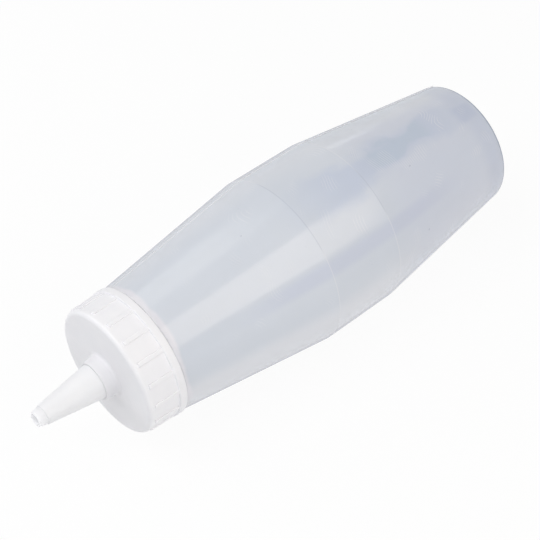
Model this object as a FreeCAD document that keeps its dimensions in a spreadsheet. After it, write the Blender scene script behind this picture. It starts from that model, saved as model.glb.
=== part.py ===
"""Decorating squeeze bottle, lying on its side: a hollow blow-moulded bottle, a ribbed screw
cap and a push-through cone nozzle. Millimetres, +X from the nozzle to the base, +Z up."""
import FreeCAD, Part
import Sketcher
import math
import os

# Every driving size. Lengths run along the bottle's axis, radii are measured from it.
SIZES = {
    # bottle, from its mouth to its base
    "neck_length": 16.3,
    "neck_radius": 28.4,
    "neck_wall": 1.8,
    "shoulder_radius": 31.1,
    "shoulder_rounding": 1.2,
    "front_cone_length": 79.1,
    "grip_radius": 42.0,
    "grip_length": 38.0,
    "crease_rounding": 2.6,
    "rear_cone_length": 82.6,
    "base_radius": 31.8,
    "heel_rounding": 0.9,
    "wall": 1.3,
    "base_wall": 2.8,
    "dish_radius": 25.0,
    "dish_rim_radius": 28.2,
    "dish_depth": 2.6,
    "dish_rounding": 0.8,
    # parting lines of the bottle's two mould halves
    "parting_turn": 54.6,
    "parting_height": 0.25,
    "parting_width": 0.5,
    "weld_reach": 21.0,
    "weld_height": 0.4,
    "weld_width": 0.9,
    # spot that the bottle lies on
    "rest_depth": 0.2,
    "rest_overrun": 3.0,
    "rest_reach": 10.0,
    # screw cap, from the spout collar's lip to the rear rim
    "collar_length": 6.5,
    "collar_lip_radius": 9.25,
    "collar_root_radius": 9.7,
    "collar_rounding": 0.5,
    "collar_fillet": 1.9,
    "collar_bore_radius": 8.45,
    "face_thickness": 1.8,
    "face_rounding": 1.95,
    "skirt_front_radius": 30.3,
    "skirt_rear_radius": 30.85,
    "skirt_length": 15.4,
    "skirt_inner_radius": 28.9,
    "rim_radius": 31.75,
    "rim_length": 3.6,
    "rim_slope": 0.25,
    "rim_rounding": 0.45,
    # grip ribs round the cap's skirt
    "rib_count": 18,
    "rib_setback": 2.7,
    "rib_front_radius": 31.0,
    "rib_rear_radius": 31.35,
    "rib_root_radius": 29.9,
    "rib_width": 2.15,
    "rib_rounding": 0.45,
    "cap_turn": 13.3,
    # nozzle, from its tip to the flange under the cap's face
    "tip_length": 3.8,
    "tip_radius": 3.5,
    "tip_root_radius": 4.25,
    "tip_bore_radius": 2.95,
    "cone_length": 26.5,
    "cone_tip_radius": 4.55,
    "cone_root_radius": 8.35,
    "cone_bore_radius": 7.25,
    "sleeve_length": 8.3,
    "flange_thickness": 1.0,
    "flange_radius": 27.6,
    "lip_rounding": 0.2,
}

NOZZLE_LENGTH = "tip_length + cone_length + sleeve_length + flange_thickness"
CONES_LENGTH = "front_cone_length + grip_length + rear_cone_length"
TOLERANCE = 1e-4

doc = FreeCAD.newDocument("squeeze_bottle")
sheet = doc.addObject("Spreadsheet::Sheet", "Sizes")
for row, (alias, number) in enumerate(SIZES.items(), start=1):
    sheet.set(f"A{row}", alias)
    sheet.set(f"B{row}", str(number))
    sheet.setAlias(f"B{row}", alias)
doc.recompute()


def amount(terms):
    """Number that a sum of sizes stands for, such as 'grip_radius - wall'."""
    total = 0.0
    sign = 1
    for word in terms.split():
        if word in "+-":
            sign = 1 if word == "+" else -1
        else:
            total += sign * SIZES.get(word, 0.0)
    return total


def formula(terms):
    """The same sum as an expression on the spreadsheet's cells."""
    words = [f"Sizes.{word}" if word in SIZES else word for word in terms.split()]
    return " ".join(words) or "0"


def new_body(label):
    """Empty body whose label names its file."""
    body = doc.addObject("PartDesign::Body", label)
    body.Label = label
    return body


def origin_feature(body, role):
    """Plane or axis of a body's own origin."""
    return next(item for item in body.Origin.OriginFeatures if item.Role == role)


def sketch_on(body, name, role="XY_Plane"):
    """Empty sketch on one of the body's origin planes."""
    sketch = body.newObject("Sketcher::SketchObject", name)
    sketch.AttachmentSupport = (origin_feature(body, role), [""])
    sketch.MapMode = "FlatFace"
    return sketch


def draw_outline(sketch, corners):
    """Closed outline through corners (along, out), every one held by the spreadsheet."""
    points = [FreeCAD.Vector(amount(along), amount(out), 0) for along, out in corners]
    first = sketch.GeometryCount
    count = len(points)
    for index, point in enumerate(points):
        sketch.addGeometry(Part.LineSegment(point, points[(index + 1) % count]), False)
    for index in range(count):
        following = first + (index + 1) % count
        sketch.addConstraint(Sketcher.Constraint("Coincident", first + index, 2, following, 1))
    for index, corner in enumerate(corners):
        for kind, terms in zip(("DistanceX", "DistanceY"), corner):
            place = Sketcher.Constraint(kind, -1, 1, first + index, 1, amount(terms))
            number = sketch.addConstraint(place)
            sketch.setExpression(f"Constraints[{number}]", formula(terms))


def revolve(body, name, corners):
    """Ring section turned round the body's X axis."""
    sketch = sketch_on(body, name + "Section")
    draw_outline(sketch, corners)
    turned = body.newObject("PartDesign::Revolution", name)
    turned.Profile = sketch
    turned.ReferenceAxis = (sketch, ["H_Axis"])
    turned.Angle = 360
    doc.recompute()
    return turned


def round_rings(body, name, corners, rounding):
    """Fillet on the circular edges that run through the given section corners."""
    names = []
    for number, edge in enumerate(body.Tip.Shape.Edges, start=1):
        curve = edge.Curve
        if not isinstance(curve, Part.Circle):
            continue
        for along, out in corners:
            near = abs(curve.Center.x - amount(along)) < TOLERANCE
            if near and abs(curve.Radius - amount(out)) < TOLERANCE:
                names.append(f"Edge{number}")
    if len(names) != len(corners):
        raise RuntimeError(f"{name}: {len(names)} edges for {len(corners)} corners")
    return round_edges(body, name, names, rounding)


def round_edges(body, name, names, rounding):
    """Fillet on the named edges of the body's last feature."""
    base = body.Tip
    fillet = body.newObject("PartDesign::Fillet", name)
    fillet.Base = (base, names)
    fillet.setExpression("Radius", f"Sizes.{rounding}")
    doc.recompute()
    return fillet


def pad(body, name, sketch, width):
    """Web as wide as a size, half of it on each side of its sketch."""
    web = body.newObject("PartDesign::Pad", name)
    web.Profile = sketch
    web.setExpression("Length", f"Sizes.{width}")
    web.SideType = "Symmetric"
    doc.recompute()
    return web


def repeat_round_axis(body, name, feature, count):
    """Copies of a feature spread evenly round the body's X axis."""
    pattern = body.newObject("PartDesign::PolarPattern", name)
    pattern.Originals = [feature]
    pattern.Axis = (origin_feature(body, "X_Axis"), [""])
    pattern.Angle = 360
    if count in SIZES:
        pattern.setExpression("Occurrences", f"Sizes.{count}")
    else:
        pattern.Occurrences = int(count)
    body.Tip = pattern
    doc.recompute()
    return pattern


def place(body, terms, turn=None):
    """Body on the bottle's axis, so far behind the nozzle's tip, turned about that axis."""
    half = f"0.5 * ({formula(NOZZLE_LENGTH)} + {formula(CONES_LENGTH)} + Sizes.neck_length)"
    body.setExpression("Placement.Base.x", f"{formula(terms)} - {half}")
    body.setExpression("Placement.Base.z", formula("grip_radius - rest_depth"))
    if turn:
        body.Placement = FreeCAD.Placement(FreeCAD.Vector(), FreeCAD.Vector(1, 0, 0), 0)
        body.setExpression("Placement.Rotation.Angle", f"Sizes.{turn}")
    doc.recompute()


def make_bottle():
    """Thin shell of three straight runs with a plain neck and a dished base."""
    body = new_body("bottle")
    shoulder = "neck_length"
    grip_start = "neck_length + front_cone_length"
    grip_end = "neck_length + front_cone_length + grip_length"
    end = f"neck_length + {CONES_LENGTH}"
    inner_shoulder = (shoulder + " + wall", "shoulder_radius - wall")
    inner_grip = [(grip_start, "grip_radius - wall"), (grip_end, "grip_radius - wall")]
    outer_grip = [(grip_start, "grip_radius"), (grip_end, "grip_radius")]
    section = [
        ("", "neck_radius - neck_wall"),
        ("", "neck_radius"),
        (shoulder, "neck_radius"),
        (shoulder, "shoulder_radius"),
        *outer_grip,
        (end, "base_radius"),
        (end, "dish_rim_radius"),
        (end + " - dish_depth", "dish_radius"),
        (end + " - dish_depth", ""),
        (end + " - dish_depth - base_wall", ""),
        (end + " - dish_depth - base_wall", "dish_radius - wall"),
        (end + " - base_wall", "dish_rim_radius - wall"),
        (end + " - base_wall", "base_radius - wall"),
        *reversed(inner_grip),
        inner_shoulder,
        (shoulder + " + wall", "neck_radius - neck_wall"),
    ]
    revolve(body, "Shell", section)
    round_rings(body, "Creases", outer_grip + inner_grip, "crease_rounding")
    round_rings(body, "Shoulder", [(shoulder, "shoulder_radius")], "shoulder_rounding")
    round_rings(body, "Heel", [(end, "base_radius")], "heel_rounding")
    dish_edges = [(end, "dish_rim_radius"), (end + " - dish_depth", "dish_radius")]
    round_rings(body, "Dish", dish_edges, "dish_rounding")
    add_parting_lines(body, shoulder, outer_grip, end)
    flatten_rest(body, grip_start)
    place(body, NOZZLE_LENGTH)
    return body


def parting_sketch(body, name):
    """Empty sketch in the plane where the two mould halves meet."""
    sketch = sketch_on(body, name)
    sketch.AttachmentOffset = FreeCAD.Placement(FreeCAD.Vector(), FreeCAD.Vector(1, 0, 0), 0)
    sketch.setExpression("AttachmentOffset.Rotation.Angle", "Sizes.parting_turn")
    return sketch


def add_parting_lines(body, shoulder, grip, end):
    """Fine ridges where the mould halves met, and the pinched weld across the base."""
    start = shoulder + " + shoulder_rounding"
    stop = end + " - heel_rounding"
    raised = [(along, out + " + parting_height") for along, out in grip]
    sunk = [(along, out + " - parting_width") for along, out in grip]
    ridge_sketch = parting_sketch(body, "PartingSection")
    draw_outline(ridge_sketch, [
        (start, "shoulder_radius - parting_width"),
        (start, "shoulder_radius + parting_height"),
        *raised,
        (stop, "base_radius + parting_height"),
        (stop, "base_radius - parting_width"),
        *reversed(sunk),
    ])
    ridge = pad(body, "PartingRidge", ridge_sketch, "parting_width")
    repeat_round_axis(body, "PartingRidges", ridge, "2")
    weld_sketch = parting_sketch(body, "WeldSection")
    draw_outline(weld_sketch, [
        (end + " - dish_depth - weld_height", "- weld_reach"),
        (end + " - dish_depth + weld_height", "- weld_reach"),
        (end + " - dish_depth + weld_height", "weld_reach"),
        (end + " - dish_depth - weld_height", "weld_reach"),
    ])
    pad(body, "BaseWeld", weld_sketch, "weld_width")


def flatten_rest(body, grip_start):
    """Small flat along the widest part, so that the round bottle lies still."""
    sketch = sketch_on(body, "RestOutline")
    sketch.setExpression("AttachmentOffset.Base.z", "-1 * (Sizes.grip_radius - Sizes.rest_depth)")
    front = grip_start + " - rest_overrun"
    rear = grip_start + " + grip_length + rest_overrun"
    draw_outline(sketch, [
        (front, "- rest_reach"),
        (rear, "- rest_reach"),
        (rear, "rest_reach"),
        (front, "rest_reach"),
    ])
    whole = body.Tip.Shape.Volume
    flat = body.newObject("PartDesign::Pocket", "RestFlat")
    flat.Profile = sketch
    flat.setExpression("Length", "Sizes.wall")
    doc.recompute()
    if flat.Shape.Volume >= whole:
        raise RuntimeError("the resting flat cuts nothing")


def make_cap():
    """Ribbed screw cap with a spout collar; the thread space inside is left plain."""
    body = new_body("screw_cap")
    face = "collar_length"
    rim_end = face + " + skirt_length + rim_length"
    inside = face + " + face_thickness"
    lip = ("", "collar_lip_radius")
    root = (face, "collar_root_radius")
    edge = (face, "skirt_front_radius")
    rim = [(face + " + skirt_length", "rim_radius"), (rim_end, "rim_radius")]
    revolve(body, "CapShell", [
        ("", "collar_bore_radius"),
        lip,
        root,
        edge,
        (face + " + skirt_length - rim_slope", "skirt_rear_radius"),
        *rim,
        (rim_end, "skirt_inner_radius"),
        (inside, "skirt_inner_radius"),
        (inside, "collar_bore_radius"),
    ])
    round_rings(body, "FaceEdge", [edge], "face_rounding")
    round_rings(body, "CollarRoot", [root], "collar_fillet")
    round_rings(body, "CollarLip", [lip], "collar_rounding")
    round_rings(body, "RimEdges", rim, "rim_rounding")
    add_ribs(body, face)
    place(body, "tip_length + cone_length", "cap_turn")
    return body


def add_ribs(body, face):
    """Grip ribs that run back into the rim, with softened top edges."""
    start = face + " + rib_setback"
    stop = face + " + skirt_length + rim_rounding"
    sketch = sketch_on(body, "RibSection")
    draw_outline(sketch, [
        (start, "rib_root_radius"),
        (start, "rib_front_radius"),
        (stop, "rib_rear_radius"),
        (stop, "rib_root_radius"),
    ])
    rib = pad(body, "Rib", sketch, "rib_width")
    ribs = repeat_round_axis(body, "Ribs", rib, "rib_count")
    lowest = amount("rib_front_radius") - TOLERANCE
    tops = [
        f"Edge{number}"
        for number, edge in enumerate(ribs.Shape.Edges, start=1)
        if isinstance(edge.Curve, Part.Line)
        and all(math.hypot(end.Y, end.Z) > lowest for end in edge.Vertexes)
    ]
    round_edges(body, "RibTops", tops, "rib_rounding")


def make_nozzle():
    """Hollow cone nozzle with a stepped tip, a sleeve in the collar and a sealing flange."""
    body = new_body("nozzle")
    step = "tip_length"
    root = "tip_length + cone_length"
    flange = "tip_length + cone_length + sleeve_length"
    end = flange + " + flange_thickness"
    lip = ("", "tip_radius")
    revolve(body, "NozzleShell", [
        ("", "tip_bore_radius"),
        lip,
        (step, "tip_root_radius"),
        (step, "cone_tip_radius"),
        (root, "cone_root_radius"),
        (flange, "cone_root_radius"),
        (flange, "flange_radius"),
        (end, "flange_radius"),
        (end, "cone_bore_radius"),
        (root, "cone_bore_radius"),
    ])
    round_rings(body, "StepEdge", [(step, "cone_tip_radius"), lip], "lip_rounding")
    place(body, "")
    return body


parts = [make_bottle(), make_cap(), make_nozzle()]
doc.recompute()

for item in doc.Objects:
    if "Invalid" in item.State or "Error" in item.State:
        raise RuntimeError(f"{item.Label}: {item.State}")

os.makedirs("parts", exist_ok=True)
for part in parts:
    shape = part.Shape
    if shape.isNull() or not shape.isValid() or len(shape.Solids) != 1:
        raise RuntimeError(f"{part.Label} is not one valid solid")
    shape.exportStep(f"parts/{part.Label}.step")
    print(part.Label, "%.1f mm3" % shape.Volume, shape.BoundBox)
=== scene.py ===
"""Looks of the decorating squeeze bottle, in metres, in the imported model's own frame.

The bottle's CAD shell is replaced by a finer one with the same sizes; the cap and the nozzle
keep their CAD shapes and get materials. A pale floor and soft boxes light them.
"""
import math

import bpy
from mathutils import Matrix, Vector


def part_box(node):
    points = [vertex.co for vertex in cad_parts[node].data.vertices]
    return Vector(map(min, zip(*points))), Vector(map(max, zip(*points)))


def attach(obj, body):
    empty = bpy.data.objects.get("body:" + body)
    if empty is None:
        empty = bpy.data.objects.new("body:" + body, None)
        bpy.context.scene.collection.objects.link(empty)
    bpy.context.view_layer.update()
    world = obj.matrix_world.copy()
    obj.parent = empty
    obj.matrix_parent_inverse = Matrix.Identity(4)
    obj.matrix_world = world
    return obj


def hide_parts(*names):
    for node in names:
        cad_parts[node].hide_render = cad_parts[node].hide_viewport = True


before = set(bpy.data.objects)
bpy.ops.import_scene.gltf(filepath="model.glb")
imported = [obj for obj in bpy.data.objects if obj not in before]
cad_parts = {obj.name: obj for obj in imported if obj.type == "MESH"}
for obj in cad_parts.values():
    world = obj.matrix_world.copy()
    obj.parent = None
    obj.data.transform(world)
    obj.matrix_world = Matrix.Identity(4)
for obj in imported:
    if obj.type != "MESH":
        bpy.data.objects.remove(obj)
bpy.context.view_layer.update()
MM = 0.001

# --- sizes of the bottle's shell, as in the CAD source, in millimetres -----------------------
NECK_LENGTH = 16.3
NECK_RADIUS = 28.4
NECK_WALL = 1.8
SHOULDER_RADIUS = 31.1
SHOULDER_ROUNDING = 0.6
GRIP_START = NECK_LENGTH + 79.1
GRIP_RADIUS = 42.0
GRIP_END = GRIP_START + 38.0
CREASE_ROUNDING = 2.6
BASE_RADIUS = 31.8
HEEL_ROUNDING = 0.9
HEEL_INSIDE = BASE_RADIUS - HEEL_ROUNDING
HEEL_FADE = 0.8
WALL = 1.3
BASE_WALL = 2.8
DISH_RADIUS = 25.0
DISH_RIM_RADIUS = 28.2
DISH_DEPTH = 2.6
DISH_ROUNDING = 0.8
PARTING_HEIGHT = 0.25
PARTING_WIDTH = 0.5
# The flash is left a little proud where the mould closed on the heel.
NUB_HEIGHT = 0.5
NUB_LENGTH = 2.0
NUB_RISE = 1.4
WELD_REACH = 21.0
WELD_HEIGHT = 0.4
WELD_WIDTH = 0.9
WELD_END_FADE = 0.5
WELD_CLEAR = 1.0

BOTTLE_LOW, BOTTLE_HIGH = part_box("bottle")
MOUTH_X = BOTTLE_LOW[0]
BASE_S = (BOTTLE_HIGH[0] - MOUTH_X) / MM
AXIS_Z = BOTTLE_HIGH[2] - GRIP_RADIUS * MM
# The two mould halves meet in a plane through the axis, turned by this from straight up.
SEAM_ANGLE = 35.4
PARTING_TURN = math.radians(SEAM_ANGLE)

# --- the bottle's shell -----------------------------------------------------------------------

# Longest steps of the mesh, in millimetres along the skins and in degrees on a rounding.
OUTSIDE_STEP = 3.0
INSIDE_STEP = 12.0
ROUNDING_STEP = 9
ROUNDING_STEPS_AT_LEAST = 4
# Degrees beside a parting line: where the even steps stop, and where the closer ones lie.
PARTING_CLEAR = 1.6
PARTING_OFFSETS = (0.15, 0.3, 0.42, 0.65, 0.95, 1.3)
# Share of a ridge's width that each of its flanks takes.
RIDGE_FLANK = 0.4
SHARP_EDGE = 35
# Turns and gaps under this count as none.
NONE_BELOW = 1e-6


def rounded_line(corners, longest_step):
    """Points along a line of (along, out, rounding) corners, each an arc of its rounding."""
    points = [Vector(corners[0][:2])]
    for before, corner, after in zip(corners, corners[1:], corners[2:]):
        middle = Vector(corner[:2])
        arrive = (middle - Vector(before[:2])).normalized()
        leave = (Vector(after[:2]) - middle).normalized()
        turn = arrive.angle_signed(leave)
        rounding = corner[2]
        if rounding == 0 or abs(turn) < NONE_BELOW:
            points.append(middle)
            continue
        cut = rounding * math.tan(abs(turn) / 2)
        side = Vector((-arrive.y, arrive.x)) * (-1 if turn > 0 else 1)
        start = middle - arrive * cut
        centre = start + side * rounding
        steps = max(ROUNDING_STEPS_AT_LEAST, math.ceil(abs(turn) / math.radians(ROUNDING_STEP)))
        for index in range(steps + 1):
            spin = Matrix.Rotation(-turn * index / steps, 2)
            points.append(centre + spin @ (start - centre))
    points.append(Vector(corners[-1][:2]))
    line = [points[0]]
    for point in points[1:]:
        gap = (point - line[-1]).length
        if gap < NONE_BELOW:
            continue
        pieces = math.ceil(gap / longest_step)
        start = line[-1]
        line += [start.lerp(point, (index + 1) / pieces) for index in range(pieces)]
    return line


def bottle_section():
    """The wall's section, from the middle of the base outside to the middle of it inside."""
    dish = BASE_S - DISH_DEPTH
    inner_end = BASE_S - BASE_WALL
    inner_neck = NECK_RADIUS - NECK_WALL
    outside = rounded_line([
        (dish, 0.0, 0),
        (dish, DISH_RADIUS, DISH_ROUNDING),
        (BASE_S, DISH_RIM_RADIUS, DISH_ROUNDING),
        (BASE_S, BASE_RADIUS, HEEL_ROUNDING),
        (GRIP_END, GRIP_RADIUS, CREASE_ROUNDING),
        (GRIP_START, GRIP_RADIUS, CREASE_ROUNDING),
        (NECK_LENGTH, SHOULDER_RADIUS, SHOULDER_ROUNDING),
        (NECK_LENGTH, NECK_RADIUS, 0),
        (0.0, NECK_RADIUS, 0),
        (0.0, inner_neck, 0),
    ], OUTSIDE_STEP)
    inside = rounded_line([
        (0.0, inner_neck, 0),
        (NECK_LENGTH + WALL, inner_neck, 0),
        (NECK_LENGTH + WALL, SHOULDER_RADIUS - WALL, 0),
        (GRIP_START, GRIP_RADIUS - WALL, CREASE_ROUNDING),
        (GRIP_END, GRIP_RADIUS - WALL, CREASE_ROUNDING),
        (inner_end, BASE_RADIUS - WALL, 0),
        (inner_end, DISH_RIM_RADIUS - WALL, 0),
        (dish - BASE_WALL, DISH_RADIUS - WALL, 0),
        (dish - BASE_WALL, 0.0, 0),
    ], INSIDE_STEP)
    return outside, inside[1:]


def turn_angles():
    """Angles round the axis, one to a degree and closer beside the two parting lines."""
    angles = {float(step) for step in range(360)}
    for half in (0, 180):
        middle = math.degrees(PARTING_TURN) + half
        angles = {angle for angle in angles
                  if abs((angle - middle + 180) % 360 - 180) > PARTING_CLEAR}
        for offset in PARTING_OFFSETS:
            angles |= {(middle + offset) % 360, (middle - offset) % 360}
    return [math.radians(angle) for angle in sorted(angles)]


def ridge(distance, width):
    """Height of a soft ridge, as a share of its crown, at a distance from its middle."""
    return min(1.0, max(0.0, (width / 2 - abs(distance)) / (RIDGE_FLANK * width)))


def shell_point(along, out, angle, outer):
    """Place of a point of the shell in metres; along and out are in millimetres.

    The outer skin has the parting lines, the base weld and the flat spot that it lies on.
    """
    across = out * math.sin(angle - PARTING_TURN)
    reach = out * math.cos(angle - PARTING_TURN)
    on_wall = NECK_LENGTH + SHOULDER_ROUNDING <= along <= BASE_S - HEEL_ROUNDING / 2
    if outer and on_wall and out > BASE_RADIUS - 2 * HEEL_ROUNDING:
        nub = min(1.0, max(0.0, (along - BASE_S + NUB_LENGTH) / NUB_RISE))
        out += (PARTING_HEIGHT + NUB_HEIGHT * nub) * ridge(across, PARTING_WIDTH)
    if outer and along > BASE_S - DISH_DEPTH - WELD_CLEAR and out < WELD_REACH + WELD_CLEAR:
        fade = min(1.0, max(0.0, WELD_REACH + WELD_END_FADE - abs(reach)))
        along += WELD_HEIGHT * ridge(across, WELD_WIDTH) * fade
    height = AXIS_Z + out * MM * math.cos(angle)
    if outer:
        height = max(0.0, height)
    return (MOUTH_X + along * MM, out * MM * math.sin(angle), height)


def make_shell():
    """The bottle as one closed skin, outside and inside."""
    outside, inside = bottle_section()
    angles = turn_angles()
    count = len(angles)
    rings = [(point, True) for point in outside[1:]]
    rings += [(point, False) for point in inside[:-1]]
    vertices = []
    for point, outer in rings:
        vertices += [shell_point(point.x, point.y, angle, outer) for angle in angles]
    faces = []
    for ring in range(len(rings) - 1):
        for index in range(count):
            near, far = index, (index + 1) % count
            low, high = ring * count, (ring + 1) * count
            faces.append((low + near, high + near, high + far, low + far))
    for pole, ring, flip in ((outside[0], 0, False), (inside[-1], len(rings) - 1, True)):
        vertices.append(shell_point(pole.x, 0.0, 0.0, not flip))
        start = ring * count
        for index in range(count):
            fan = (len(vertices) - 1, start + index, start + (index + 1) % count)
            faces.append(fan[::-1] if flip else fan)
    mesh = bpy.data.meshes.new("bottle_shell")
    mesh.from_pydata(vertices, [], faces)
    mesh.polygons.foreach_set("use_smooth", [True] * len(mesh.polygons))
    mesh.set_sharp_from_angle(angle=math.radians(SHARP_EDGE))
    mesh.update()
    shell = bpy.data.objects.new("bottle_shell", mesh)
    bpy.context.scene.collection.objects.link(shell)
    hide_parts("bottle")
    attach(shell, "root")
    return shell


# --- materials --------------------------------------------------------------------------------

PLASTIC_IOR = 1.6
# Range of a noise that most of its values lie in.
NOISE_SPAN = (0.3, 0.7)


class Nodes:
    """Short way to add nodes to one material, or to the world, and join them."""

    def __init__(self, owner):
        self.owner = owner
        owner.use_nodes = True
        self.tree = owner.node_tree
        self.tree.nodes.clear()

    def add(self, kind, settings=None, **inputs):
        """Node of a kind, its properties from settings and its sockets from inputs."""
        node = self.tree.nodes.new("ShaderNode" + kind)
        for name, value in (settings or {}).items():
            setattr(node, name, value)
        for name, value in inputs.items():
            self.put(node, name.replace("_", " "), value)
        return node

    def put(self, node, socket, value):
        """Value or another node's output into a socket, named or numbered."""
        target = node.inputs[socket]
        if isinstance(value, bpy.types.NodeSocket):
            self.tree.links.new(value, target)
        else:
            target.default_value = value

    def math(self, operation, *values):
        """Output of a Math node."""
        node = self.add("Math", {"operation": operation})
        for index, value in enumerate(values):
            self.put(node, index, value)
        return node.outputs[0]

    def times(self, first, *others):
        """Product of several values."""
        product = first
        for other in others:
            product = self.math("MULTIPLY", product, other)
        return product

    def blend(self, amount, first, second):
        """Output of a colour mix."""
        node = self.add("Mix", {"data_type": "RGBA"})
        for index, value in ((0, amount), (6, first), (7, second)):
            self.put(node, index, value)
        return node.outputs[2]

    def between(self, value, low, high, to_low=0.0, to_high=1.0):
        """Output of a smooth Map Range."""
        node = self.add("MapRange", {"interpolation_type": "SMOOTHSTEP"})
        for index, number in enumerate((value, low, high, to_low, to_high)):
            self.put(node, index, number)
        return node.outputs[0]

    def window(self, value, low, high, soft):
        """1 between low and high, falling to 0 over a soft distance outside them."""
        rise = self.between(value, low - soft, low)
        return self.times(rise, self.between(value, high, high + soft, 1.0, 0.0))


class Plastic(Nodes):
    """Moulded plastic that knows where each point of it lies.

    The places are along, from the bottle's mouth, and radius, both in millimetres, and angle,
    in degrees from the top toward +Y. edge_on depends on the view instead: it is 0 where the
    surface is seen squarely and 1 at the outline.
    """

    def __init__(self, name):
        super().__init__(bpy.data.materials.new(name))
        axes = self.add("SeparateXYZ", Vector=self.add("TexCoord").outputs["Object"])
        across = axes.outputs["Y"]
        up = self.math("SUBTRACT", axes.outputs["Z"], AXIS_Z)
        self.along = self.math("DIVIDE", self.math("SUBTRACT", axes.outputs["X"], MOUTH_X), MM)
        turned = self.math("ARCTAN2", across, up)
        self.angle = self.math("DEGREES", turned)
        offset = self.add("CombineXYZ", X=across, Y=up)
        length = self.add("VectorMath", {"operation": "LENGTH"}, Vector=offset.outputs[0])
        self.radius = self.math("DIVIDE", length.outputs["Value"], MM)
        # a circle round the axis, drawn in to a point toward its middle
        spread = self.math("MINIMUM", self.math("DIVIDE", self.radius, NECK_RADIUS), 1.0)
        self.around = [self.times(self.math("COSINE", turned), spread),
                       self.times(self.math("SINE", turned), spread)]
        self.edge_on = self.add("LayerWeight", Blend=0.5).outputs["Facing"]

    def noise(self, along_scale, round_scale, detail=2.0):
        """Noise of its own scale along the axis, per millimetre, and round it, per circle."""
        place = [self.times(self.along, along_scale)]
        place += [self.times(part, round_scale) for part in self.around]
        vector = self.add("CombineXYZ", X=place[0], Y=place[1], Z=place[2]).outputs[0]
        return self.add("TexNoise", Vector=vector, Scale=1.0, Detail=detail).outputs[0]

    def finish(self, colour, roughness, bump, light_through, coat, coat_roughness):
        """The shader: gloss over a pale body, mixed with light that comes through."""
        skin = self.add("BsdfPrincipled", Base_Color=colour, Roughness=roughness, Normal=bump)
        skin.inputs["IOR"].default_value = PLASTIC_IOR
        skin.inputs["Coat Weight"].default_value = coat
        skin.inputs["Coat Roughness"].default_value = coat_roughness
        skin.inputs["Coat IOR"].default_value = PLASTIC_IOR
        through = self.add("BsdfTranslucent", Color=colour, Normal=bump)
        mixed = self.add("MixShader", Fac=light_through)
        self.put(mixed, 1, skin.outputs[0])
        self.put(mixed, 2, through.outputs[0])
        self.add("OutputMaterial", Surface=mixed.outputs[0])
        return self.owner


# --- the bottle's plastic ---------------------------------------------------------------------

# A noise has its scales along and round, and its detail. ANGLES and REACH say where a tone
# lies, in degrees and in millimetres: with two numbers it comes or goes between them, and with
# three it is full between the first two and fades over the third. A share is its strength.
BOTTLE_LIGHT_THROUGH = 0.35
BOTTLE_COAT = 1.0
BOTTLE_COAT_ROUGHNESS = 0.12
BOTTLE_ROUGHNESS = (0.17, 0.19)

CLOUD_NOISE = (0.022, 1.6, 3.0)
WALL_TONE = (0.803, 0.831, 0.88, 1)
WALL_SHADE = (0.783, 0.814, 0.868, 1)

# Painted sheen by viewing angle: paler where the wall is seen edge-on, up to a thin dark
# outline of painted shade.
# The sheen's share and OUTLINE_SHARE at 0 leave them out, as HARD_OUTLINE_SHARE does on the
# cap.
EDGE_SHEEN_TONE = (0.90, 0.90, 0.92, 1)
EDGE_SHEEN_RISE = (0.30, 0.60)
EDGE_SHEEN_SHARE = 0.45
EDGE_SHEEN_FALL = (0.60, 0.72)
EDGE_SHEEN_LEFT = 0.3
OUTLINE_TONE = (0.30, 0.34, 0.45, 1)
BASE_OUTLINE_TONE = (0.14, 0.20, 0.32, 1)
BASE_OUTLINE_REACH = (208.0, 212.5)
OUTLINE_RISE = (0.76, 0.93)
OUTLINE_SHARE = 0.9

# Painted light along the lower side toward -Y, and painted shade over the rear.
UNDERSIDE_LIGHT_TONE = (0.905, 0.91, 0.94, 1)
UNDERSIDE_LIGHT_ANGLES = (-125.0, -94.0, 16.0)
UNDERSIDE_LIGHT_REACH = (110.0, 165.0)
UNDERSIDE_LIGHT_SHARES = (0.75, 0.25)
REAR_SHADE_TONE = (0.755, 0.78, 0.885, 1)
REAR_ANGLES = (4.0, 20.0)
REAR_REACH = (GRIP_END - 8.0, GRIP_END + 25.0)
REAR_SHARE = 0.35

# Painted shade in cool tones: a long stripe, a blot of painted dark reflection that drifts and
# wanders, and a spot at the heel.
STRIPE_TONE = (0.68, 0.71, 0.83, 1)
STRIPE_ANGLES = (-59.0, -55.0, 6.0)
STRIPE_REACH = (80.0, 150.0, 40.0)
STRIPE_SHARE = 0.45
BLOT_DRIFT_REACH = (130.0, 195.0)
BLOT_DRIFT = (3.5, -2.0)
WANDER_NOISE = (0.05, 3.0, 4.0)
BLOT_WANDER = (-5.0, 5.0)
BLOT_TONE = (0.66, 0.715, 0.84, 1)
BLOT_ANGLES = (-17.0, -8.0, 13.0)
BLOT_REACH = (130.0, 174.0, 48.0)
BLOT_SHARE = 0.6
CORE_TONE = (0.62, 0.71, 0.79, 1)
CORE_ANGLES = (-17.0, -6.5, 5.0)
CORE_REACH = (147.0, 178.0, 8.0)
CORE_SHARE = 0.4
HEEL_TONE = (0.62, 0.67, 0.80, 1)
HEEL_REACH = (199.0, 209.0)
HEEL_SHARE = 0.3
SPOT_ANGLES = (-20.0, -12.0, 10.0)
SPOT_REACH = (205.0, 211.0, 7.0)
SPOT_SHARE = 0.6

# Painted shade as a dark rim round the base, and a pale edge under the cap, partly painted
# light.
BASE_RIM_SHADE_TONE = (0.16, 0.23, 0.36, 1)
RIM_REACH = (BASE_S - 1.3, BASE_S - 0.7)
RIM_SHARE = 0.7
SHOULDER_TONE = (0.94, 0.925, 0.96, 1)
SHOULDER_REACH = (17.6, 19.4)
SHOULDER_SHARE = 0.9
WAVER_NOISE = (0.02, 2.0)
WAVER_SPAN = (0.35, 0.65)
SHOULDER_WAVER = (-0.9, 0.9)
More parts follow.
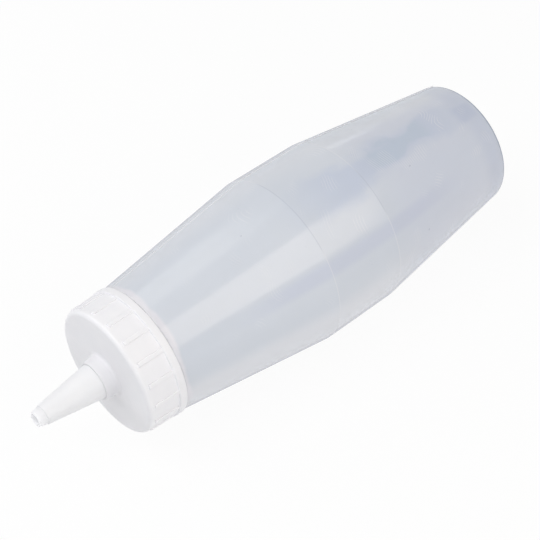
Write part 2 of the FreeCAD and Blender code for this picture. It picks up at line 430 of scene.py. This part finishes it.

# Fine lines: the mould's seams, its ring joints in painted highlight and shade, and short
# turning marks in patches with a painted glint.
LINE_TONE = (0.95, 0.945, 0.96, 1)
SEAM_WIDTH = (0.008, 0.016)
JOINT_HALF = 0.15
JOINT_FADE = 0.2
JOINT_SHARE = 0.4
# painted shade in the ring joints across part of the top
JOINT_SHADE_TONE = (0.58, 0.61, 0.69, 1)
JOINT_SHADE_START = (-52.0, -40.0)
JOINT_SHADE_END = (12.0, 24.0)
JOINT_SHADE_SHORTER = 32.0
SWING_NOISE = (0.02, 2.4, 0.0)
SWING_SPAN = (0.2, 0.8)
MARK_SWING = (-6.0, 6.0)
MARK_TURNS = 4.2
MARK_CREST = (0.45, 1.0)
PATCH_NOISE = (0.11, 3.6, 0.0)
PATCH_SPAN = (0.62, 0.76)
MARK_REACH = (GRIP_START, GRIP_END + 15.0)
MARK_SHARES = (0.6, 1.1)
MARK_SHARE = 0.40
MARK_BUMP = 0.15
MARK_BUMP_HEIGHT = 0.0001
SPECK_TONE = (0.45, 0.48, 0.56, 1)
SPECK_NOISE = (0.45, 19.0, 0.0)
SPECK_SPAN = (0.88, 0.91)
SPECK_SHARE = 0.35


def body_tone(nodes, cloud, side):
    """Wall colour with painted sheen edge-on, painted shade at the outline and rear, painted
    light below.
    """
    wall = nodes.blend(nodes.between(cloud, *NOISE_SPAN), WALL_TONE, WALL_SHADE)
    # painted sheen where the wall is seen edge-on
    edge_sheen = nodes.times(nodes.between(nodes.edge_on, *EDGE_SHEEN_RISE, 0.0, EDGE_SHEEN_SHARE),
                        nodes.between(nodes.edge_on, *EDGE_SHEEN_FALL, 1.0, EDGE_SHEEN_LEFT))
    wall = nodes.blend(edge_sheen, wall, EDGE_SHEEN_TONE)
    # painted light along the lower side toward -Y
    underside_light = nodes.times(nodes.window(nodes.angle, *UNDERSIDE_LIGHT_ANGLES),
                        nodes.between(nodes.along, *UNDERSIDE_LIGHT_REACH, *UNDERSIDE_LIGHT_SHARES), side)
    wall = nodes.blend(underside_light, wall, UNDERSIDE_LIGHT_TONE)
    # painted shade: a thin dark outline, darker still at the base
    outline = nodes.blend(nodes.between(nodes.along, *BASE_OUTLINE_REACH),
                          OUTLINE_TONE, BASE_OUTLINE_TONE)
    wall = nodes.blend(nodes.between(nodes.edge_on, *OUTLINE_RISE, 0.0, OUTLINE_SHARE),
                       wall, outline)
    # painted shade over the rear
    rear = nodes.times(nodes.between(nodes.along, *REAR_REACH, 0.0, REAR_SHARE),
                       nodes.between(nodes.angle, *REAR_ANGLES, 1.0, 0.0), side)
    return nodes.blend(rear, wall, REAR_SHADE_TONE)


def painted_shade_places(nodes, wall, side):
    """Wall with painted shade: the stripe, the blot of painted dark reflection with its core,
    and the heel.
    """
    # painted shade: a long stripe
    stripe = nodes.times(nodes.window(nodes.angle, *STRIPE_ANGLES),
                         nodes.window(nodes.along, *STRIPE_REACH), STRIPE_SHARE)
    wall = nodes.blend(stripe, wall, STRIPE_TONE)
    # painted dark reflection: a blot with its core, drifting and wandering
    drift = nodes.between(nodes.along, *BLOT_DRIFT_REACH, *BLOT_DRIFT)
    wander = nodes.between(nodes.noise(*WANDER_NOISE), *NOISE_SPAN, *BLOT_WANDER)
    blot_angle = nodes.math("ADD", nodes.math("ADD", nodes.angle, drift), wander)
    blot = nodes.times(nodes.window(blot_angle, *BLOT_ANGLES),
                       nodes.window(nodes.along, *BLOT_REACH), BLOT_SHARE)
    wall = nodes.blend(blot, wall, BLOT_TONE)
    core = nodes.times(nodes.window(blot_angle, *CORE_ANGLES),
                       nodes.window(nodes.along, *CORE_REACH), CORE_SHARE)
    wall = nodes.blend(core, wall, CORE_TONE)
    # painted shade at the heel, darker towards the base, with a spot
    spot = nodes.times(nodes.window(nodes.angle, *SPOT_ANGLES),
                       nodes.window(nodes.along, *SPOT_REACH), SPOT_SHARE)
    heel = nodes.math("MAXIMUM", nodes.between(nodes.along, *HEEL_REACH, 0.0, HEEL_SHARE), spot)
    return nodes.blend(nodes.times(heel, side), wall, HEEL_TONE)


def end_tones(nodes, wall, side):
    """Wall with a dark rim of painted shade round the base and its pale edge under the cap,
    partly painted light.
    """
    # painted shade: a dark rim round the base
    rim = nodes.times(nodes.between(nodes.along, *RIM_REACH, 0.0, RIM_SHARE), side)
    wall = nodes.blend(rim, wall, BASE_RIM_SHADE_TONE)
    # pale edge under the cap: its thicker wall, partly painted light against the cap's shade
    waver = nodes.between(nodes.noise(*WAVER_NOISE), *WAVER_SPAN, *SHOULDER_WAVER)
    shoulder = nodes.between(nodes.math("ADD", nodes.along, waver), *SHOULDER_REACH,
                             SHOULDER_SHARE, 0.0)
    return nodes.blend(shoulder, wall, SHOULDER_TONE)


def ring_joints(nodes, wall):
    """Wall with its ring joints as painted highlight lines, with painted shade over part of the
    top, the rear one over less of it.
    """
    # painted highlight lines at the ring joints
    front, rear = (nodes.window(nodes.along, ring - JOINT_HALF, ring + JOINT_HALF, JOINT_FADE)
                   for ring in (GRIP_START, GRIP_END))
    # painted shade across part of the top
    shorter = nodes.between(nodes.along, GRIP_START, GRIP_END, 0.0, JOINT_SHADE_SHORTER)
    ended = nodes.math("ADD", nodes.angle, shorter)
    joint_shade = nodes.times(nodes.between(nodes.angle, *JOINT_SHADE_START),
                       nodes.between(ended, *JOINT_SHADE_END, 1.0, 0.0))
    joint = nodes.blend(joint_shade, LINE_TONE, JOINT_SHADE_TONE)
    share = nodes.times(nodes.math("MAXIMUM", front, rear), JOINT_SHARE)
    return nodes.blend(share, wall, joint)


def turning_marks(nodes):
    """Strength of the short curved marks that turning left in the mould, in patches."""
    swing = nodes.between(nodes.noise(*SWING_NOISE), *SWING_SPAN, *MARK_SWING)
    turning = nodes.math("SINE", nodes.times(nodes.math("ADD", nodes.along, swing), MARK_TURNS))
    patch = nodes.between(nodes.noise(*PATCH_NOISE), *PATCH_SPAN)
    return nodes.times(nodes.between(turning, *MARK_CREST), patch,
                       nodes.between(nodes.along, *MARK_REACH, *MARK_SHARES))


def bottle_plastic():
    """Milky squeeze-bottle wall with painted light and shade in places, and the marks of its
    mould.
    """
    nodes = Plastic("milky_polyethylene")
    cloud = nodes.noise(*CLOUD_NOISE)
    # 1 on the walls and the neck, and 0 inside the rim of the base
    side = nodes.math("MAXIMUM",
                      nodes.between(nodes.radius, HEEL_INSIDE - HEEL_FADE, HEEL_INSIDE),
                      nodes.between(nodes.along, NECK_LENGTH, GRIP_START, 1.0, 0.0))
    wall = body_tone(nodes, cloud, side)
    wall = painted_shade_places(nodes, wall, side)
    wall = end_tones(nodes, wall, side)
    wall = ring_joints(nodes, wall)
    mark = turning_marks(nodes)
    from_seam = nodes.math("RADIANS", nodes.math("SUBTRACT", nodes.angle, SEAM_ANGLE))
    from_seam = nodes.math("ABSOLUTE", nodes.math("SINE", from_seam))
    seam = nodes.between(from_seam, *SEAM_WIDTH, 1.0, 0.0)
    # the turning marks are bumped, and painted pale as their glint; the seams are pale lines
    lines = nodes.math("MAXIMUM", nodes.times(mark, MARK_SHARE), seam)
    wall = nodes.blend(lines, wall, LINE_TONE)
    speck = nodes.between(nodes.noise(*SPECK_NOISE), *SPECK_SPAN, 0.0, SPECK_SHARE)
    wall = nodes.blend(speck, wall, SPECK_TONE)
    bump = nodes.add("Bump", Strength=MARK_BUMP, Distance=MARK_BUMP_HEIGHT, Height=mark)
    rough = nodes.between(cloud, *NOISE_SPAN, *BOTTLE_ROUGHNESS)
    return nodes.finish(wall, rough, bump.outputs[0], BOTTLE_LIGHT_THROUGH, BOTTLE_COAT,
                        BOTTLE_COAT_ROUGHNESS)


# --- the white plastics -----------------------------------------------------------------------

TONE_NOISE = (0.15, 3.0, 3.0)
GRAIN_NOISE = (2.5, 75.0, 3.0)
GRAIN_BUMP = 0.06
GRAIN_HEIGHT = 0.0002
HARD_ROUGHNESS = (0.42, 0.48)
HARD_COAT_ROUGHNESS = 0.25
# Painted shade by viewing angle here too: greyer where the surface is seen almost edge-on.
HARD_OUTLINE_TONE = (0.66, 0.66, 0.72, 1)
HARD_OUTLINE_RISE = (0.86, 1.0)
HARD_OUTLINE_SHARE = 0.6
# painted shade inside the collar's radii
COLLAR_SHADE_TONE = (0.80, 0.79, 0.815, 1)
# paler thin end: its thinner plastic, and partly painted light against the shade of its bore
THIN_END_TONE = (0.97, 0.97, 0.98, 1)
THIN_END_SHARE = 0.8
THIN_END_LIGHT_THROUGH = 0.50

CAP_TONE = (0.905, 0.895, 0.92, 1)
CAP_SHADE = (0.885, 0.877, 0.905, 1)
CAP_LIGHT_THROUGH = 0.05
CAP_COAT = 0.0
CAP_COLLAR = (10.0, 12.0)
NOZZLE_TONE = (0.905, 0.90, 0.915, 1)
NOZZLE_SHADE = (0.885, 0.885, 0.905, 1)
NOZZLE_LIGHT_THROUGH = 0.12
NOZZLE_COAT = 0.1
NOZZLE_THIN_END = (-38.0, -34.0)


def hard_plastic(name, tone, shade, light_through, coat, thin_end=None, collar=None):
    """White plastic with a faint grain.

    It is painted greyer inside a collar's radii, as shade, and along a thin end it is paler,
    partly painted light against the shade in its bore, and lets more light through.
    """
    nodes = Plastic(name)
    mottle = nodes.between(nodes.noise(*TONE_NOISE), *NOISE_SPAN)
    grain = nodes.noise(*GRAIN_NOISE)
    bump = nodes.add("Bump", Strength=GRAIN_BUMP, Distance=GRAIN_HEIGHT, Height=grain)
    rough = nodes.between(grain, *NOISE_SPAN, *HARD_ROUGHNESS)
    body = nodes.blend(mottle, tone, shade)
    # painted shade where the surface is seen almost edge-on
    outline = nodes.between(nodes.edge_on, *HARD_OUTLINE_RISE, 0.0, HARD_OUTLINE_SHARE)
    body = nodes.blend(outline, body, HARD_OUTLINE_TONE)
    # painted shade inside the collar's radii
    if collar:
        body = nodes.blend(nodes.between(nodes.radius, *collar, 1.0, 0.0), body, COLLAR_SHADE_TONE)
    through = light_through
    # paler along the thin end, partly painted light against the shade of its bore
    if thin_end:
        through = nodes.between(nodes.along, *thin_end, THIN_END_LIGHT_THROUGH, light_through)
        pale = nodes.between(nodes.along, *thin_end, THIN_END_SHARE, 0.0)
        body = nodes.blend(pale, body, THIN_END_TONE)
    return nodes.finish(body, rough, bump.outputs[0], through, coat, HARD_COAT_ROUGHNESS)


def dress(piece, material):
    """Give a piece one material, whatever slots it came with."""
    if not piece.data.materials:
        piece.data.materials.append(material)
    for index in range(len(piece.data.materials)):
        piece.data.materials[index] = material


# --- floor, light and camera ------------------------------------------------------------------

WHITE = (1.0, 1.0, 1.0, 1)
FLOOR_ALBEDO = (0.88, 0.88, 0.88, 1)
FLOOR_ROUGHNESS = 0.3
FLOOR_HALF = 3.0
# How much of the lit paper, and so of the shadow, is seen, and over which distances it fades.
SHADOW_SHARE = 0.06
SHADOW_FADE = (0.25, 0.8)
WORLD_LIGHT = (0.88, 0.95, 1.0, 1)
WORLD_STRENGTH = 0.263
CAMERA_AZIMUTH = math.radians(-42.0)
CAMERA_ELEVATION = math.radians(46.8)
CAMERA_PLACE = (-0.2918, -0.3276, 0.5088)
CAMERA_LENS = 93.6
CAMERA_SENSOR = 36.0
CAMERA_CLIP = (0.05, 20.0)


def seen_directly(nodes):
    """1 for rays from the camera and for their reflections and refractions, otherwise 0."""
    path = nodes.add("LightPath").outputs
    mirrored = nodes.math("MAXIMUM", path["Is Glossy Ray"], path["Is Transmission Ray"])
    return nodes.math("MAXIMUM", path["Is Camera Ray"], mirrored)


def make_floor():
    """Pale sheet that fades to white for the camera and keeps a soft share of the shadow."""
    nodes = Nodes(bpy.data.materials.new("pale_floor"))
    paper = nodes.add("BsdfDiffuse", Color=FLOOR_ALBEDO, Roughness=FLOOR_ROUGHNESS)
    glow = nodes.add("Emission", Color=WHITE, Strength=1.0)
    place = nodes.add("TexCoord").outputs["Object"]
    distance = nodes.add("VectorMath", {"operation": "LENGTH"}, Vector=place).outputs["Value"]
    white_share = nodes.between(distance, *SHADOW_FADE, 1.0 - SHADOW_SHARE, 1.0)
    mixed = nodes.add("MixShader", Fac=nodes.times(seen_directly(nodes), white_share))
    nodes.put(mixed, 1, paper.outputs[0])
    nodes.put(mixed, 2, glow.outputs[0])
    nodes.add("OutputMaterial", Surface=mixed.outputs[0])
    # the glow is only seen, so rays aren't spent on it as on a lamp
    nodes.owner.cycles.emission_sampling = "NONE"
    mesh = bpy.data.meshes.new("floor")
    corners = [(x * FLOOR_HALF, y * FLOOR_HALF, 0.0)
               for x, y in ((-1, -1), (1, -1), (1, 1), (-1, 1))]
    mesh.from_pydata(corners, [], [(0, 1, 2, 3)])
    floor = bpy.data.objects.new("floor", mesh)
    bpy.context.scene.collection.objects.link(floor)
    dress(floor, nodes.owner)


def soft_box(name, direction, distance, width, height, radiance, colour, mirrored):
    """Area lamp that looks at the object from a direction, its width along the bottle."""
    lamp = bpy.data.lights.new(name, "AREA")
    lamp.shape = "RECTANGLE"
    lamp.size, lamp.size_y = width, height
    lamp.energy = radiance * math.pi * width * height
    lamp.color = colour
    holder = bpy.data.objects.new(name, lamp)
    holder.visible_glossy = mirrored
    back = Vector(direction).normalized()
    holder.location = Vector((0, 0, AXIS_Z)) + back * distance
    side = (Vector((1, 0, 0)) - back * back.x).normalized()
    upright = back.cross(side)
    turn = Matrix((side, upright, back)).transposed()
    holder.rotation_mode = "QUATERNION"
    holder.rotation_quaternion = turn.to_quaternion()
    bpy.context.scene.collection.objects.link(holder)


def around(degrees_from_top, along):
    """Unit direction with its part along the bottle, turned from straight up toward +Y."""
    turn = math.radians(degrees_from_top)
    across = math.sqrt(1 - along * along)
    return (along, across * math.sin(turn), across * math.cos(turn))


# Name, direction, distance, width, height, radiance, colour, and whether it is mirrored.
LAMPS = [
    ("key_box", around(-42, 0.28), 0.80, 0.50, 0.55, 1.40, (1.0, 0.86, 0.71), True),
    ("key_tail", around(-22, 0.675), 0.80, 0.12, 0.36, 0.60, (1.0, 0.93, 0.85), True),
    ("vault_box", around(30, -0.10), 0.85, 0.60, 0.56, 0.64, (1.0, 0.97, 0.86), True),
    ("rear_strip", around(65, 0.66), 0.80, 0.10, 0.09, 0.70, (1.0, 0.98, 0.96), True),
    ("top_left_box", (-0.48, 0.05, 0.86), 0.90, 0.60, 0.60, 2.78, (1.0, 1.0, 1.0), True),
    ("left_front_box", (-0.36, -0.85, 0.42), 0.90, 0.50, 0.50, 2.18, (1.0, 1.0, 1.0), True),
    ("left_back_box", (-0.46, 0.72, 0.50), 0.90, 0.50, 0.50, 2.80, (1.0, 0.99, 1.0), True),
    ("front_fill", (0.05, -1.0, 0.05), 0.90, 0.90, 0.16, 2.20, (0.97, 1.0, 1.0), False),
]


def make_world():
    """Even, slightly cool light from everywhere; white where it is seen past the floor."""
    nodes = Nodes(bpy.data.worlds.new("studio"))
    even = nodes.add("Background", Color=WORLD_LIGHT, Strength=WORLD_STRENGTH)
    white = nodes.add("Background", Color=WHITE, Strength=1.0)
    mixed = nodes.add("MixShader", Fac=seen_directly(nodes))
    nodes.put(mixed, 1, even.outputs[0])
    nodes.put(mixed, 2, white.outputs[0])
    nodes.add("OutputWorld", Surface=mixed.outputs[0])
    bpy.context.scene.world = nodes.owner


def make_camera():
    """Camera at the photograph's angle, without shift or depth of field."""
    lens = bpy.data.cameras.new("camera")
    lens.sensor_width = CAMERA_SENSOR
    lens.lens = CAMERA_LENS
    lens.clip_start, lens.clip_end = CAMERA_CLIP
    camera = bpy.data.objects.new("camera", lens)
    camera.location = CAMERA_PLACE
    back = Vector((math.sin(CAMERA_AZIMUTH) * math.cos(CAMERA_ELEVATION),
                   -math.cos(CAMERA_AZIMUTH) * math.cos(CAMERA_ELEVATION),
                   math.sin(CAMERA_ELEVATION)))
    camera.rotation_mode = "QUATERNION"
    camera.rotation_quaternion = (-back).to_track_quat("-Z", "Y")
    bpy.context.scene.collection.objects.link(camera)
    bpy.context.scene.camera = camera


# --- the scene --------------------------------------------------------------------------------

make_camera()
make_floor()
make_world()
for lamp_row in LAMPS:
    soft_box(*lamp_row)

dress(make_shell(), bottle_plastic())
dress(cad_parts["screw_cap"],
      hard_plastic("white_polypropylene", CAP_TONE, CAP_SHADE, CAP_LIGHT_THROUGH, CAP_COAT,
                   collar=CAP_COLLAR))
dress(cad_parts["nozzle"],
      hard_plastic("nozzle_polyethylene", NOZZLE_TONE, NOZZLE_SHADE, NOZZLE_LIGHT_THROUGH,
                   NOZZLE_COAT, thin_end=NOZZLE_THIN_END))

bpy.context.scene.view_settings.view_transform = "Standard"
